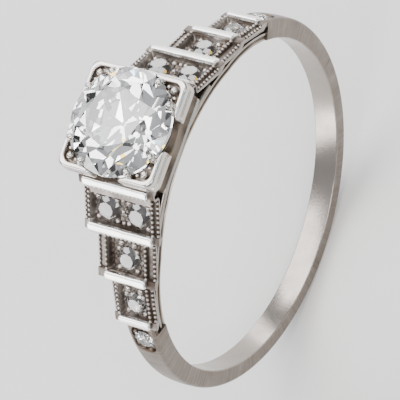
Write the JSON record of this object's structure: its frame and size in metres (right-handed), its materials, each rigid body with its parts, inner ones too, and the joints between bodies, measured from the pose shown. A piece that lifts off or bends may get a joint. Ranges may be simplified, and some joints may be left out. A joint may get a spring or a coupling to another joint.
{
  "type": "engagement ring",
  "caption": "Vintage white metal engagement ring: round old-cut stone in a square corner-plate head, stepped shoulders set with small stones between raised bars, plain shank.",
  "frame": {"origin": "centre of the finger hole", "axes": "+Y along the finger hole's axis, +Z towards the head and its stone, +X towards the right shoulder"},
  "size_m": [0.019, 0.0054, 0.0232],
  "materials": {
    "polished_platinum": "polished white metal with fine wear scratches",
    "bright_platinum": "bright polished edges and bars",
    "grained_platinum": "bright-cut beds with grains and millgrained edges",
    "recess_platinum": "dull toned metal in the recesses",
    "centre_diamond": "old-cut diamond",
    "side_diamond": "single and brilliant cut diamonds"
  },
  "bodies": {
    "root": {"centre_stone": "centre_diamond", "collet": "recess_platinum", "corner_back_left": "bright_platinum", "corner_back_right": "bright_platinum", "corner_front_left": "bright_platinum", "corner_front_right": "bright_platinum", "finger_rail": "polished_platinum", "gallery_frame": "polished_platinum", "gallery_wire_back": "polished_platinum", "gallery_wire_front": "polished_platinum", "left_bar_0": "bright_platinum", "left_bar_1": "bright_platinum", "left_bar_2": "bright_platinum", "left_bar_3": "bright_platinum", "left_shoulder_web": "recess_platinum", "left_stone_1_back": "side_diamond", "left_stone_1_front": "side_diamond", "left_stone_2": "side_diamond", "left_stone_3": "side_diamond", "left_stone_4": "side_diamond", "left_tier_1": "grained_platinum", "left_tier_2": "grained_platinum", "left_tier_3": "grained_platinum", "leg_back_left": "polished_platinum", "leg_back_right": "polished_platinum", "leg_front_left": "polished_platinum", "leg_front_right": "polished_platinum", "post_back_left": "recess_platinum", "post_back_right": "recess_platinum", "post_front_left": "recess_platinum", "post_front_right": "recess_platinum", "right_bar_0": "bright_platinum", "right_bar_1": "bright_platinum", "right_bar_2": "bright_platinum", "right_bar_3": "bright_platinum", "right_shoulder_web": "recess_platinum", "right_stone_1_back": "side_diamond", "right_stone_1_front": "side_diamond", "right_stone_2": "side_diamond", "right_stone_3": "side_diamond", "right_stone_4": "side_diamond", "right_tier_1": "grained_platinum", "right_tier_2": "grained_platinum", "right_tier_3": "grained_platinum", "shank": "polished_platinum"}
  },
  "joints": []
}
